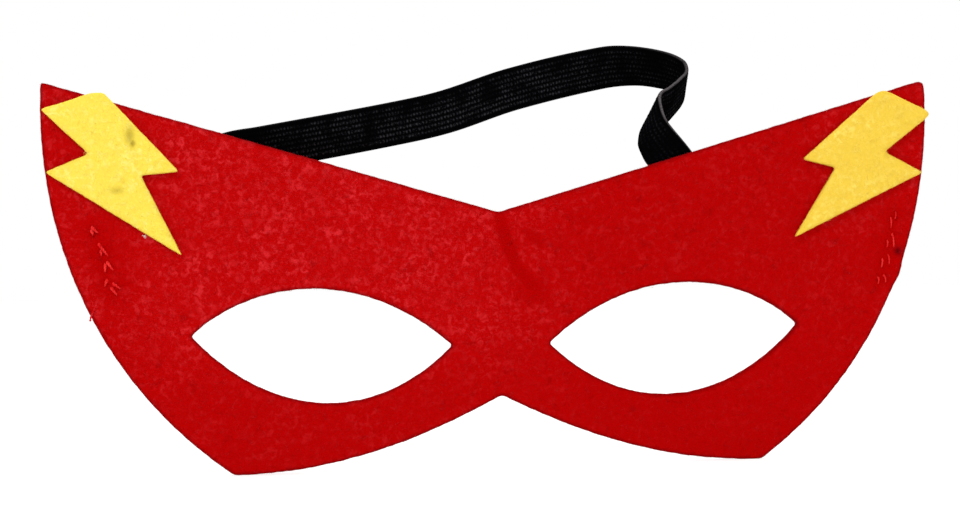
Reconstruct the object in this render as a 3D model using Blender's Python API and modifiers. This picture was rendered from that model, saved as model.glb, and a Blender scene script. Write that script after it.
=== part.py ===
"""Child's dress-up eye mask: a felt panel with two felt lightning bolts and an elastic head strap.

Frame: +X to the viewer's right, -Y out of the mask's front, +Z up. The origin is on the panel's
back face, in the middle of the nose bridge. All sizes below are in millimetres.
"""

import math

import bmesh
import bpy
from mathutils import Matrix, Vector

MM = 0.001

# felt panel: right half of the outline, (across, up), each curved side with its two Bezier handles
FELT_THICK = 2.0
TOP_NOTCH = (0.0, 21.0)
TOP_CORNER = (100.2, 50.4)
SIDE_HANDLES = ((102.2, 14.2), (87.0, -16.9))
BOTTOM_CORNER = (59.8, -36.1)
HEM_HANDLES = ((36.9, -36.2), (17.7, -29.1))
NOSE_NOTCH = (0.0, -20.0)
EYE_INNER = (11.0, -8.6)
EYE_TOP_HANDLES = ((32.2, 10.5), (56.4, 6.3))
EYE_OUTER = (68.8, -5.4)
EYE_LOW_HANDLES = ((51.2, -24.7), (28.5, -25.9))
PANEL_STEPS = 14

# two-step lightning bolts: hand-cut to nearly mirrored outlines and stuck on at different slants
BOLT_THICK = 1.2
BOLT_OUTLINES = {
    "left": (
        (-100.3, 44.4),
        (-96.2, 45.6),
        (-89.7, 47.8),
        (-86.9, 48.0),
        (-85.6, 46.6),
        (-70.8, 30.6),
        (-79.1, 29.9),
        (-70.4, 12.2),
        (-99.5, 30.8),
        (-90.1, 34.7),
    ),
    "right": (
        (100.9, 42.3),
        (90.4, 47.9),
        (88.6, 47.5),
        (70.5, 32.2),
        (78.3, 30.2),
        (68.0, 14.3),
        (99.1, 28.9),
        (90.0, 33.7),
    ),
}
BOLT_HUBS = {"left": (-84.5, 32.0), "right": (84.0, 31.6)}
GLUE_THICK = 0.2
GLUE_SHARE = 0.72

# elastic strap: centre (x, y, z), then how far its upper edge leans to +X and to +Y, in degrees
STRAP_WIDE = 10.0
STRAP_THICK = 1.0
STRAP_ROUTE = (
    (-90.5, 0.8, 9.5, -16, 0),
    (-84.0, 0.8, 12.3, -28, 0),
    (-77.5, 0.8, 18.0, -42, 0),
    (-71.8, 0.8, 25.0, -44, 0),
    (-66.4, 1.2, 30.4, -39, -1),
    (-60.2, 2.5, 34.4, -26, -6),
    (-52.5, 4.5, 36.0, -10, -10),
    (-23.0, 11.0, 41.7, -13, -8),
    (-9.7, 14.4, 44.8, -17, -1),
    (7.0, 18.0, 50.4, -17, 0),
    (29.5, 22.5, 55.8, -9, -12),
    (37.3, 23.0, 56.3, -13, -20),
    (44.5, 21.5, 55.0, -5, -33),
    (48.2, 19.0, 53.0, -8, -40),
    (48.1, 17.2, 50.8, -3, -44),
    (44.9, 13.0, 47.8, 5, -33),
    (42.2, 11.0, 45.8, 3, -34),
    (37.9, 7.8, 44.2, 18, -42),
    (36.7, 4.1, 39.6, 36, -39),
    (37.8, 3.0, 36.8, 46, -31),
    (40.3, 2.0, 33.0, 60, -14),
    (44.5, 1.2, 27.5, 44, -4),
    (53.5, 0.8, 21.5, 28, 0),
    (78.0, 0.8, 13.4, 15, 0),
    (93.2, 0.8, 9.9, 13, 0),
)
STRAP_REST_Y = 0.8
STRAP_STEPS = 5
SWING_Z = 24.0
SWING_Y = 1.9
SWING_GAP = 0.3

# seams: two columns of stitches, sewn up one column and down the other; top and bottom (across, up)
SEAMS = {
    "left": ((-89.6, 18.6), (-85.3, 3.2)),
    "right": ((92.6, 18.5), (88.9, 3.0)),
}
COLUMN_GAP = 2.2
STITCHES = 4
THREAD_RADIUS = 0.15
HOLE_RADIUS = 0.62
LOOP_HALF = 0.22
CLEAR = 0.3
TAIL_LEFT = ((-89.3, 1.4), (-90.5, -0.2), (-91.0, -2.4))

PANEL_FRONT = -FELT_THICK
GLUE_BACK = PANEL_FRONT - CLEAR
BOLT_BACK = GLUE_BACK - GLUE_THICK - CLEAR
STRAP_BACK = STRAP_REST_Y + STRAP_THICK / 2
NEEDLE_Y = PANEL_FRONT - CLEAR - THREAD_RADIUS
NEEDLE_DIP_Y = -1.1
BOBBIN_Y = STRAP_BACK + CLEAR + THREAD_RADIUS
BOBBIN_DIP_Y = -0.4

RED_FELT = ("red_felt", (0.55, 0.004, 0.006), 0.95)
YELLOW_FELT = ("yellow_felt", (1.0, 0.72, 0.10), 0.95)
BLACK_ELASTIC = ("black_elastic", (0.012, 0.012, 0.013), 0.75)
RED_THREAD = ("red_thread", (0.65, 0.03, 0.03), 0.6)
HOT_GLUE = ("hot_glue", (0.80, 0.78, 0.70), 0.35)


def clear_scene():
    for obj in list(bpy.data.objects):
        bpy.data.objects.remove(obj)


def new_collection(name):
    group = bpy.data.collections.new(name)
    bpy.context.scene.collection.children.link(group)
    return group


def material(spec):
    name, colour, roughness = spec
    mat = bpy.data.materials.get(name)
    if mat is None:
        mat = bpy.data.materials.new(name)
        mat.use_nodes = True
        shader = mat.node_tree.nodes["Principled BSDF"]
        shader.inputs["Base Color"].default_value = (*colour, 1.0)
        shader.inputs["Roughness"].default_value = roughness
        shader.inputs["Metallic"].default_value = 0.0
        mat.diffuse_color = (*colour, 1.0)
    return mat


def place(obj, group, spec):
    group.objects.link(obj)
    obj.data.materials.append(material(spec))
    return obj


def mirrored(point):
    return (-point[0], point[1])


def bezier_loop(curve, knots):
    """Add a closed Bezier outline; each knot is (handle before, point, handle after)."""
    spline = curve.splines.new("BEZIER")
    spline.bezier_points.add(len(knots) - 1)
    for knot, (before, point, after) in zip(spline.bezier_points, knots):
        knot.handle_left_type = "FREE"
        knot.handle_right_type = "FREE"
        knot.co = (point[0] * MM, point[1] * MM, 0)
        knot.handle_left = (before[0] * MM, before[1] * MM, 0)
        knot.handle_right = (after[0] * MM, after[1] * MM, 0)
    spline.use_cyclic_u = True


def poly_loop(curve, points):
    spline = curve.splines.new("POLY")
    spline.points.add(len(points) - 1)
    for knot, point in zip(spline.points, points):
        knot.co = (point[0] * MM, point[1] * MM, 0, 1)
    spline.use_cyclic_u = True


def sheet_curve(name, thick, y_back):
    """A flat filled curve, stood upright, with its back face at y_back."""
    curve = bpy.data.curves.new(name, "CURVE")
    curve.dimensions = "2D"
    curve.fill_mode = "BOTH"
    curve.resolution_u = PANEL_STEPS
    curve.extrude = thick / 2 * MM
    obj = bpy.data.objects.new(name, curve)
    obj.rotation_euler = (math.radians(90), 0, 0)
    obj.location = (0, (y_back - thick / 2) * MM, 0)
    return obj


def panel_outline():
    """The panel's closed outline: the right half, then the same knots mirrored back to the notch."""
    right = [
        (TOP_CORNER, TOP_CORNER, SIDE_HANDLES[0]),
        (SIDE_HANDLES[1], BOTTOM_CORNER, HEM_HANDLES[0]),
    ]
    left = [(mirrored(c), mirrored(b), mirrored(a)) for a, b, c in reversed(right)]
    top = (TOP_NOTCH, TOP_NOTCH, TOP_NOTCH)
    nose = (HEM_HANDLES[1], NOSE_NOTCH, mirrored(HEM_HANDLES[1]))
    return [top, *right, nose, *left]


def eye_outline(side):
    knots = [
        (EYE_LOW_HANDLES[1], EYE_INNER, EYE_TOP_HANDLES[0]),
        (EYE_TOP_HANDLES[1], EYE_OUTER, EYE_LOW_HANDLES[0]),
    ]
    if side < 0:
        knots = [tuple(mirrored(p) for p in knot) for knot in knots]
    return knots


def seam_frame(seam):
    """The seam's top point, its unit direction downwards, its unit direction across, its length."""
    top, bottom = (Vector(p) for p in SEAMS[seam])
    down = (bottom - top).normalized()
    across = Vector((-down.y, down.x))
    return top, down, across, (bottom - top).length


def needle_holes(seam):
    """Hole centres in sewing order: up the first column, then down the second."""
    top, down, across, length = seam_frame(seam)
    rows = [top + down * length * i / STITCHES for i in range(STITCHES + 1)]
    first = [p - across * COLUMN_GAP / 2 for p in reversed(rows)]
    second = [p + across * COLUMN_GAP / 2 for p in rows]
    return first + second


def ring(centre, radius, count=12):
    turns = [2 * math.pi * i / count for i in range(count)]
    return [(centre[0] + radius * math.cos(a), centre[1] + radius * math.sin(a)) for a in turns]


def build_panel(group):
    obj = sheet_curve("mask_panel", FELT_THICK, 0.0)
    bezier_loop(obj.data, panel_outline())
    for side in (-1, 1):
        bezier_loop(obj.data, eye_outline(side))
    for seam in SEAMS:
        for hole in needle_holes(seam):
            poly_loop(obj.data, ring(hole, HOLE_RADIUS))
    place(obj, group, RED_FELT)


def build_bolt(side_name, group):
    bolt = BOLT_OUTLINES[side_name]
    hub = BOLT_HUBS[side_name]
    film = [tuple(h + GLUE_SHARE * (p - h) for p, h in zip(point, hub)) for point in bolt]

    glue = sheet_curve(f"bolt_glue_{side_name}", GLUE_THICK, GLUE_BACK)
    poly_loop(glue.data, film)
    place(glue, group, HOT_GLUE)

    felt = sheet_curve(f"bolt_{side_name}", BOLT_THICK, BOLT_BACK)
    poly_loop(felt.data, bolt)
    place(felt, group, YELLOW_FELT)


def edge_direction(lean_x, lean_y):
    """The unit direction from the strap's lower edge to its upper edge."""
    a = math.radians(lean_x)
    b = math.radians(lean_y)
    return Vector((math.sin(a) * math.cos(b), math.sin(b), math.cos(a) * math.cos(b)))


def hermite(points, knots, i, t):
    """Cubic through points[i] and points[i + 1], with slopes taken from their neighbours."""
    def slope(j):
        lo = max(j - 1, 0)
        hi = min(j + 1, len(points) - 1)
        return (points[hi] - points[lo]) / (knots[hi] - knots[lo])

    span = knots[i + 1] - knots[i]
    start = points[i] * (2 * t**3 - 3 * t**2 + 1) + slope(i) * span * (t**3 - 2 * t**2 + t)
    end = points[i + 1] * (3 * t**2 - 2 * t**3) + slope(i + 1) * span * (t**3 - t**2)
    return start + end


def strap_edges():
    """Pairs of points (lower edge, upper edge) along the strap's middle surface, in metres."""
    centres = [Vector(row[:3]) for row in STRAP_ROUTE]
    leans = [edge_direction(row[3], row[4]) for row in STRAP_ROUTE]
    knots = [0.0]
    for a, b in zip(centres, centres[1:]):
        knots.append(knots[-1] + (b - a).length)
    count = (len(centres) - 1) * STRAP_STEPS
    pairs = []
    for k in range(count + 1):
        i = min(k // STRAP_STEPS, len(centres) - 2)
        t = k / STRAP_STEPS - i
        centre = hermite(centres, knots, i, t)
        half = hermite(leans, knots, i, t).normalized() * STRAP_WIDE / 2
        low, high = centre - half, centre + half
        low.y = max(low.y, STRAP_REST_Y)
        high.y = max(high.y, STRAP_REST_Y)
        pairs.append((low * MM, high * MM))
    return pairs


def strap_length():
    centres = [(low + high) / 2 for low, high in strap_edges()]
    return sum((b - a).length for a, b in zip(centres, centres[1:]))


def strap_piece(name, pairs, above, group):
    """A loft along the strap, cut on the swing line and given its thickness."""
    mesh = bpy.data.meshes.new(name)
    bm = bmesh.new()
    rows = [[bm.verts.new(p) for p in pair] for pair in pairs]
    for (a, b), (c, d) in zip(rows, rows[1:]):
        bm.faces.new((a, c, d, b))
    side = 1 if above else -1
    bmesh.ops.bisect_plane(
        bm,
        geom=bm.verts[:] + bm.edges[:] + bm.faces[:],
        plane_co=(0, 0, (SWING_Z + side * SWING_GAP / 2) * MM),
        plane_no=(0, 0, -side),
        clear_outer=True,
    )
    bm.to_mesh(mesh)
    bm.free()
    obj = place(bpy.data.objects.new(name, mesh), group, BLACK_ELASTIC)
    solid = obj.modifiers.new("thickness", "SOLIDIFY")
    solid.thickness = STRAP_THICK * MM
    solid.offset = 0
    return obj


def hole_cutter(seam, cutters):
    """Needle-sized rods through the strap's end, one for each stitch hole."""
    mesh = bpy.data.meshes.new(f"needles_{seam}")
    bm = bmesh.new()
    for x, z in needle_holes(seam):
        stand = Matrix.Translation((x * MM, STRAP_REST_Y * MM, z * MM)) @ Matrix.Rotation(math.pi / 2, 4, "X")
        bmesh.ops.create_cone(
            bm,
            cap_ends=True,
            segments=12,
            radius1=HOLE_RADIUS * MM,
            radius2=HOLE_RADIUS * MM,
            depth=4 * STRAP_THICK * MM,
            matrix=stand,
        )
    bm.to_mesh(mesh)
    bm.free()
    obj = bpy.data.objects.new(mesh.name, mesh)
    cutters.objects.link(obj)
    obj.hide_render = True
    obj.display_type = "WIRE"
    return obj


def build_strap(group, cutters):
    pairs = strap_edges()
    middle = len(pairs) // 2
    ends = {"left": pairs[:middle], "right": pairs[middle:]}
    for seam, part in ends.items():
        tab = strap_piece(f"elastic_strap_end_{seam}", part, False, group)
        cut = tab.modifiers.new("stitch_holes", "BOOLEAN")
        cut.operation = "DIFFERENCE"
        cut.solver = "EXACT"
        cut.object = hole_cutter(seam, cutters)
    span = strap_piece("elastic_strap", pairs, True, group)
    axis = bpy.data.objects.new("strap_swing_axis", None)
    axis.location = (0, SWING_Y * MM, SWING_Z * MM)
    group.objects.link(axis)
    span.parent = axis
    span.location = -axis.location


def thread_route(holes, surface_y, dip_y, tail):
    """A lockstitch thread: along the surface from hole to hole, with a U-shaped loop into each."""
    route = []
    for i, hole in enumerate(holes):
        before = holes[max(i - 1, 0)]
        after = holes[min(i + 1, len(holes) - 1)]
        step = (after - before).normalized() * LOOP_HALF
        arrive, leave = hole - step, hole + step
        if i > 0:
            route.append((arrive.x, surface_y, arrive.y))
        route.append((arrive.x, dip_y, arrive.y))
        route.append((leave.x, dip_y, leave.y))
        if i < len(holes) - 1 or tail:
            route.append((leave.x, surface_y, leave.y))
    return route + [(x, surface_y, z) for x, z in tail]


def build_thread(name, route, group):
    curve = bpy.data.curves.new(name, "CURVE")
    curve.dimensions = "3D"
    curve.bevel_depth = THREAD_RADIUS * MM
    curve.bevel_resolution = 2
    curve.use_fill_caps = True
    spline = curve.splines.new("POLY")
    spline.points.add(len(route) - 1)
    for knot, point in zip(spline.points, route):
        knot.co = (*(c * MM for c in point), 1)
    place(bpy.data.objects.new(name, curve), group, RED_THREAD)


def build_threads(group):
    for seam in SEAMS:
        holes = needle_holes(seam)
        tail = TAIL_LEFT if seam == "left" else ()
        needle = thread_route(holes, NEEDLE_Y, NEEDLE_DIP_Y, tail)
        bobbin = thread_route(holes, BOBBIN_Y, BOBBIN_DIP_Y, ())
        build_thread(f"needle_thread_{seam}", needle, group)
        build_thread(f"bobbin_thread_{seam}", bobbin, group)


def main():
    clear_scene()
    group = new_collection("felt_eye_mask")
    cutters = new_collection("cutters")
    build_panel(group)
    for side_name in BOLT_OUTLINES:
        build_bolt(side_name, group)
    build_strap(group, cutters)
    build_threads(group)
    print(f"strap length along its middle: {strap_length() * 1000:.1f} mm")


main()
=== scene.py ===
"""Looks of the child's felt eye mask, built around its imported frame.

Frame: +X to the viewer's right, -Y out of the mask's front, +Z up. Sizes and places are in
millimetres, as in the CAD, and so are the arrays that the shapes are worked out in. Meshes are
written in metres.
"""

import math

import bpy
import numpy as np
from mathutils import Matrix, Vector
from mathutils.geometry import delaunay_2d_cdt
from mathutils.kdtree import KDTree

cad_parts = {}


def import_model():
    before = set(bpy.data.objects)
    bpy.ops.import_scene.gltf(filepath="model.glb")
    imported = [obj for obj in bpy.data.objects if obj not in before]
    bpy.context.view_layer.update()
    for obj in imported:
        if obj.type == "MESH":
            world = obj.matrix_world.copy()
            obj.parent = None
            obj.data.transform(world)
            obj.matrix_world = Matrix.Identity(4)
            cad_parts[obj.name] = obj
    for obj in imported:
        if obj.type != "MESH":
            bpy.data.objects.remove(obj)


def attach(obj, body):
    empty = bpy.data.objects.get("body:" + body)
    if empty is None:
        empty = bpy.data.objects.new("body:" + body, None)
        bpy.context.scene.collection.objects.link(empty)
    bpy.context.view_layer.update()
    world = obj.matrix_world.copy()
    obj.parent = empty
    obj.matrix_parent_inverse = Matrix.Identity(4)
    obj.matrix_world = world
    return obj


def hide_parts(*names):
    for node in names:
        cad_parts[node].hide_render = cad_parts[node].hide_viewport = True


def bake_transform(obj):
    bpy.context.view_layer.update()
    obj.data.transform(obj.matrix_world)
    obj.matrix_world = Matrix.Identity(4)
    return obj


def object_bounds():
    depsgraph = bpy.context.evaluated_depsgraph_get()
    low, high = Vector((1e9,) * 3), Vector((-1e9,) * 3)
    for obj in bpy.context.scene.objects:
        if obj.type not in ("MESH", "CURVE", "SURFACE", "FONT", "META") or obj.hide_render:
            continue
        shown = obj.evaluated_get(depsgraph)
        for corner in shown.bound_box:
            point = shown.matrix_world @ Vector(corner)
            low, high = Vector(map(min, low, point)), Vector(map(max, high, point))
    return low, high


MM = 0.001

# camera: from a little to the left of the mask, and level with it
CAMERA_YAW = 8.85
CAMERA_PITCH = 0.4
CAMERA_ROLL = -1.0
CAMERA_TARGET = (-4.6, -2.0, 10.2)
CAMERA_DISTANCE = 450.4
CAMERA_LENS = 75.56
CAMERA_SENSOR = 36.0

# studio, in metres: a grey floor that glows up to white, and each light's place, size and power
FLOOR_RADIUS = 4.0
FLOOR_GREY = 0.4
FLOOR_GLOW = 0.68
LIGHT_AIM = (0, 0, 0.01)
LIGHTS = {
    "key": ((-0.5, -0.65, 0.7), 0.4, 3.4),
    "top": ((0.15, 0.15, 0.9), 0.35, 3.5),
}

# felt panel, right half: (across, up) with two Bezier handles for each curved side
FELT_THICK = 2.0
TOP_NOTCH = (0.0, 21.0)
TOP_CORNER = (100.2, 50.4)
SIDE_HANDLES = ((102.2, 14.2), (87.0, -16.9))
BOTTOM_CORNER = (59.8, -36.1)
HEM_HANDLES = ((36.9, -36.2), (17.7, -29.1))
NOSE_NOTCH = (0.0, -20.0)
EYE_INNER = (11.0, -8.6)
EYE_TOP_HANDLES = ((32.2, 10.5), (56.4, 6.3))
EYE_OUTER = (68.8, -5.4)
EYE_LOW_HANDLES = ((51.2, -24.7), (28.5, -25.9))
# soft creases by the nose: their lines (across, up), half widths and shares of the full depth
CREASES = (
    ((0.1, 19.9), (1.6, 14.5), (3.7, 8.8), (8.4, 2.7), (13.6, -1.2)),
    ((6.0, 16.4), (10.5, 13.0)),
    ((16.5, 20.1), (21.3, 17.6)),
    ((6.4, 4.4), (9.6, 1.8)),
)
CREASE_WIDTHS = (1.6, 1.2, 1.1, 3.8)
CREASE_DEPTHS = (1.0, 0.65, 0.5, 0.65)
CREASE_DEEP = 0.13
# a seam's furrow in the felt, and the dimple at each needle hole: half widths and depths
FURROW_WIDE = 1.6
FURROW_DEEP = 0.22
DIMPLE_WIDE = 0.42
DIMPLE_FRONT = 0.35
DIMPLE_BACK = 0.25
# a dark speck on the right: its place, radius and strength
DARK_SPOT = (93.2, 10.8)
DARK_SPOT_RADIUS = 0.95
DARK_SPOT_STRENGTH = 0.85
# a place where the hand-cut side bulges, how wide the bulge is, and how far it stands out
CUT_BULGE = (93.6, 5.6)
CUT_BULGE_WIDE = 2.6
CUT_BULGE_OUT = 0.5
# how far round the top right corner the outline is blunted
CORNER_REACH = 2.5

# lightning bolts, (across, up); they lie closer to the panel than their CAD solids do
BOLT_OUTLINES = {
    "left": (
        (-100.3, 44.4), (-96.2, 45.6), (-89.7, 47.8), (-86.9, 48.0), (-85.6, 46.6),
        (-70.8, 30.6), (-79.1, 29.9), (-70.4, 12.2), (-99.5, 30.8), (-90.1, 34.7),
    ),
    "right": (
        (100.2, 41.5), (100.9, 42.2), (100.4, 43.1), (90.4, 47.9), (88.6, 47.5),
        (70.5, 32.2), (78.3, 30.2), (68.0, 14.3), (99.1, 28.9), (90.0, 33.7),
    ),
}
# the middle that each glue film shrinks towards, and the two tips of each bolt that stand off
BOLT_HUBS = {"left": (-84.5, 32.0), "right": (84.0, 31.6)}
BOLT_TIPS = {"left": ((-100.3, 44.4), (-70.4, 12.2)), "right": ((100.9, 42.3), (68.0, 14.3))}
# how far the tips lift and the edges drop, and how far in from the tip or the edge that reaches
TIP_LIFT = 0.30
TIP_REACH = 5.0
CROWN_DROP = 0.22
CROWN_REACH = 0.8
# y of their faces, y of the glue film's faces, and the film's size as a share of the bolt's
BOLT_FRONT = -3.55
BOLT_BACK = -2.2
GLUE_FRONT = -2.32
GLUE_BACK = -1.95
GLUE_SHARE = 0.72
# grime on the left bolt: place (across, up), half its width and height, strength
SMUDGES = (
    ((-81.3, 38.6), (0.95, 1.9), 0.55),
    ((-80.7, 36.8), (0.55, 0.75), 0.85),
    ((-84.2, 26.6), (1.4, 0.65), 0.42),
)

# elastic band: centre (x, y, z), then how far its upper edge leans to +X and to +Y, in degrees
BAND_WIDE = 10.0
BAND_THICK = 1.0
BAND_ROUTE = (
    (-90.5, 0.8, 9.5, -16, 0),
    (-84.0, 0.8, 12.3, -28, 0),
    (-77.5, 0.8, 18.0, -42, 0),
    (-71.8, 0.8, 25.0, -44, 0),
    (-66.4, 1.2, 30.4, -39, -1),
    (-60.2, 2.5, 34.4, -26, -6),
    (-52.5, 4.5, 36.0, -10, -10),
    (-23.0, 11.0, 41.7, -13, -8),
    (-9.7, 14.4, 44.8, -17, -1),
    (7.0, 18.0, 50.4, -17, 0),
    (29.5, 22.5, 55.8, -9, -12),
    (37.3, 23.0, 56.3, -13, -20),
    (44.5, 21.5, 55.0, -5, -33),
    (48.2, 19.0, 53.0, -8, -40),
    (48.1, 17.2, 50.8, -3, -44),
    (44.9, 13.0, 47.8, 5, -33),
    (42.2, 11.0, 45.8, 3, -34),
    (37.9, 7.8, 44.2, 18, -42),
    (36.7, 4.1, 39.6, 36, -39),
    (37.8, 3.0, 36.8, 46, -31),
    (40.3, 2.0, 33.0, 60, -14),
    (44.5, 1.2, 27.5, 44, -4),
    (53.5, 0.8, 21.5, 28, 0),
    (78.0, 0.8, 13.4, 15, 0),
    (93.2, 0.8, 9.9, 13, 0),
)
BAND_REST_Y = 0.8
# ribs across the band, the dips between them, and the ticks of yarn along each rib
RIBS = 7
RIB_PITCH = 1.16
RIB_DIP = 0.17
TICK_PITCH = 0.8
TICK_RISE = 0.05
# columns across the band, its rounded edge and its selvage, paled by fuzz and painted highlight
BAND_COLUMNS = 65
BAND_ROUNDED = 0.45
SELVAGE_WIDE = 0.24
# how far the stitches reach and how deep they draw the band into the felt
SEAM_PULL_WIDE = 2.2
SEAM_PULL_DEEP = 0.28
# how strongly the band's grey ticks (painted glints) and pale selvages show, at stations along it
# in mm
GLINT_AT = (40, 62, 118, 140, 158, 168, 185, 200)
GLINT_STRENGTH = (0.0, 0.6, 0.7, 0.25, 0.1, 0.45, 0.15, 0.0)
# the selvages are paled by fuzz and by painted highlight, most where the band turns
FRAY_AND_HIGHLIGHT_AT = (40, 135, 150, 163, 190, 200, 215)
FRAY_AND_HIGHLIGHT = (0.2, 0.2, 0.3, 0.8, 0.95, 0.3, 0.2)

# stitches that show on the front: (x, z) of each float's two ends, in sewing order
FLOATS = {
    "left": (
        ((-87.2, 5.9), (-86.7, 7.3)), ((-87.1, 8.9), (-87.0, 10.6)),
        ((-87.8, 12.5), (-87.9, 13.8)), ((-89.5, 17.0), (-89.8, 18.0)),
        ((-89.7, 18.8), (-88.4, 17.4)), ((-88.3, 15.1), (-86.2, 12.2)),
        ((-86.6, 11.2), (-85.2, 9.1)), ((-85.3, 6.5), (-83.9, 5.3)),
        ((-85.7, 5.5), (-84.6, 3.9)),
    ),
    "right": (
        ((88.3, 3.3), (88.4, 5.0)), ((89.1, 6.9), (89.5, 9.4)),
        ((90.5, 11.5), (90.8, 13.5)), ((91.6, 15.9), (91.7, 18.8)),
        ((92.9, 19.8), (92.6, 18.1)), ((92.0, 15.0), (92.2, 11.4)),
        ((90.9, 10.2), (91.0, 7.5)), ((89.8, 5.4), (90.1, 3.6)),
    ),
}
# how full the thread's two plies stand on the front: all along, and extra at a float's upper end
FLOAT_GIRTH = {"left": (1.0, 0.4), "right": (0.72, 0.15)}
# the loose end of the left seam's thread, (across, up)
THREAD_TAIL = ((-88.7, 2.6), (-89.5, 0.9), (-90.2, -0.6), (-90.4, -1.6))
PLY_RADIUS = 0.15
PLY_PITCH = 1.3
LINT_PLACE = (-78.5, 16.7)


def to_linear(*srgb):
    """An sRGB colour given as 0 to 255, as the linear values that shaders take."""
    parts = [c / 255 for c in srgb]
    return tuple(c / 12.92 if c <= 0.04045 else ((c + 0.055) / 1.055) ** 2.4 for c in parts)


# ---------------------------------------------------------------- stage


def build_camera():
    yaw, pitch, roll = (math.radians(a) for a in (CAMERA_YAW, CAMERA_PITCH, CAMERA_ROLL))
    ahead = Vector((math.sin(yaw), math.cos(yaw), 0))
    forward = ahead * math.cos(pitch) + Vector((0, 0, math.sin(pitch)))
    level = Vector((math.cos(yaw), -math.sin(yaw), 0))
    upright = level.cross(forward)
    right = level * math.cos(roll) + upright * math.sin(roll)
    up = upright * math.cos(roll) - level * math.sin(roll)
    turn = Matrix((right, up, -forward)).transposed().to_4x4()
    place = Vector(CAMERA_TARGET) * MM - forward * CAMERA_DISTANCE * MM
    data = bpy.data.cameras.new("camera")
    data.lens = CAMERA_LENS
    data.sensor_width = CAMERA_SENSOR
    data.clip_start = 0.01
    data.clip_end = 20
    camera = bpy.data.objects.new("camera", data)
    bpy.context.scene.collection.objects.link(camera)
    camera.matrix_world = Matrix.Translation(place) @ turn
    bpy.context.scene.camera = camera


def area_light(name, place, size, power):
    data = bpy.data.lights.new(name, "AREA")
    data.shape = "DISK"
    data.size = size
    data.energy = power
    light = bpy.data.objects.new(name, data)
    light.location = place
    light.rotation_mode = "QUATERNION"
    light.rotation_quaternion = (Vector(LIGHT_AIM) - Vector(place)).to_track_quat("-Z", "Y")
    bpy.context.scene.collection.objects.link(light)


def build_stage(floor_z):
    scene = bpy.context.scene
    scene.view_settings.view_transform = "Standard"
    scene.view_settings.look = "None"
    world = bpy.data.worlds.new("studio")
    world.use_nodes = True
    background = world.node_tree.nodes["Background"]
    background.inputs["Color"].default_value = (1, 1, 1, 1)
    background.inputs["Strength"].default_value = 1.0
    scene.world = world

    place = (0, 0, floor_z)
    bpy.ops.mesh.primitive_circle_add(
        vertices=96, radius=FLOOR_RADIUS, fill_type="NGON", location=place
    )
    floor = bpy.context.object
    floor.name = "floor"
    mat = bpy.data.materials.new("pale_floor")
    mat.use_nodes = True
    shader = mat.node_tree.nodes["Principled BSDF"]
    shader.inputs["Base Color"].default_value = (FLOOR_GREY, FLOOR_GREY, FLOOR_GREY, 1)
    shader.inputs["Emission Color"].default_value = (1, 1, 1, 1)
    shader.inputs["Emission Strength"].default_value = FLOOR_GLOW
    shader.inputs["Roughness"].default_value = 0.9
    shader.inputs["Specular IOR Level"].default_value = 0.1
    floor.data.materials.append(mat)

    for name, (place, size, power) in LIGHTS.items():
        area_light(name, place, size, power)


# ---------------------------------------------------------------- shader helper


class Nodes:
    """A material's node tree with short calls for adding and joining nodes."""

    def __init__(self, name, colour):
        self.mat = bpy.data.materials.new(name)
        self.mat.use_nodes = True
        self.tree = self.mat.node_tree
        self.shader = self.tree.nodes["Principled BSDF"]
        self.mat.diffuse_color = (*colour, 1)

    def add(self, kind, values=None, **settings):
        node = self.tree.nodes.new(kind)
        for key, value in settings.items():
            setattr(node, key, value)
        for key, value in (values or {}).items():
            self.plug(value, node.inputs[key])
        return node

    def plug(self, value, socket):
        if isinstance(value, bpy.types.NodeSocket):
            self.tree.links.new(value, socket)
        else:
            socket.default_value = value

    def finish(self, **values):
        for key, value in values.items():
            self.plug(value, self.shader.inputs[key.replace("_", " ")])
        return self.mat

    def noise(self, coords, size, detail=3.0, rough=0.6, distortion=0.0):
        """Noise whose lumps are about size millimetres across, from 0 to 1."""
        values = {
            "Vector": coords,
            "Scale": 1 / (size * MM),
            "Detail": detail,
            "Roughness": rough,
            "Distortion": distortion,
        }
        return self.add("ShaderNodeTexNoise", values).outputs["Fac"]

    def ramp(self, value, low, high):
        """0 below low, 1 above high, smooth in between."""
        values = {"Value": value, "From Min": low, "From Max": high}
        node = self.add("ShaderNodeMapRange", values, interpolation_type="SMOOTHSTEP")
        return node.outputs["Result"]

    def math(self, operation, a, b):
        return self.add("ShaderNodeMath", {0: a, 1: b}, operation=operation).outputs[0]

    def vector_math(self, operation, values):
        return self.add("ShaderNodeVectorMath", values, operation=operation).outputs[0]

    def mix(self, factor, a, b):
        node = self.add("ShaderNodeMix", {0: factor}, data_type="RGBA")
        self.plug(a, node.inputs[6])
        self.plug(b, node.inputs[7])
        return node.outputs[2]

    def attribute(self, name):
        return self.add("ShaderNodeAttribute", attribute_name=name).outputs["Fac"]

    def fibres(self, coords, size, thickness, wander):
        """A web of thin wandering lines, from 0 to 1, like the fibres at a felt's face."""
        scale = 1 / (size * MM)
        drift = self.add("ShaderNodeTexNoise", {"Vector": coords, "Scale": scale, "Detail": 2.0})
        shifted = self.vector_math("SUBTRACT", {0: drift.outputs["Color"], 1: (0.5, 0.5, 0.5)})
        scaled = self.vector_math("SCALE", {0: shifted, "Scale": wander * MM})
        moved = self.vector_math("ADD", {0: coords, 1: scaled})
        values = {"Vector": moved, "Scale": scale}
        web = self.add("ShaderNodeTexVoronoi", values, feature="DISTANCE_TO_EDGE")
        values = {"Value": web.outputs["Distance"], "From Max": thickness}
        near = self.add("ShaderNodeMapRange", values)
        return self.math("SUBTRACT", 1.0, near.outputs["Result"])

    def bump(self, height, distance):
        """The normal of a surface on which a height of 1 stands up by distance millimetres."""
        values = {"Height": height, "Strength": 1.0, "Distance": distance * MM}
        return self.add("ShaderNodeBump", values).outputs["Normal"]


def colour4(rgb):
    return (*rgb, 1.0)


# ---------------------------------------------------------------- materials


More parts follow.
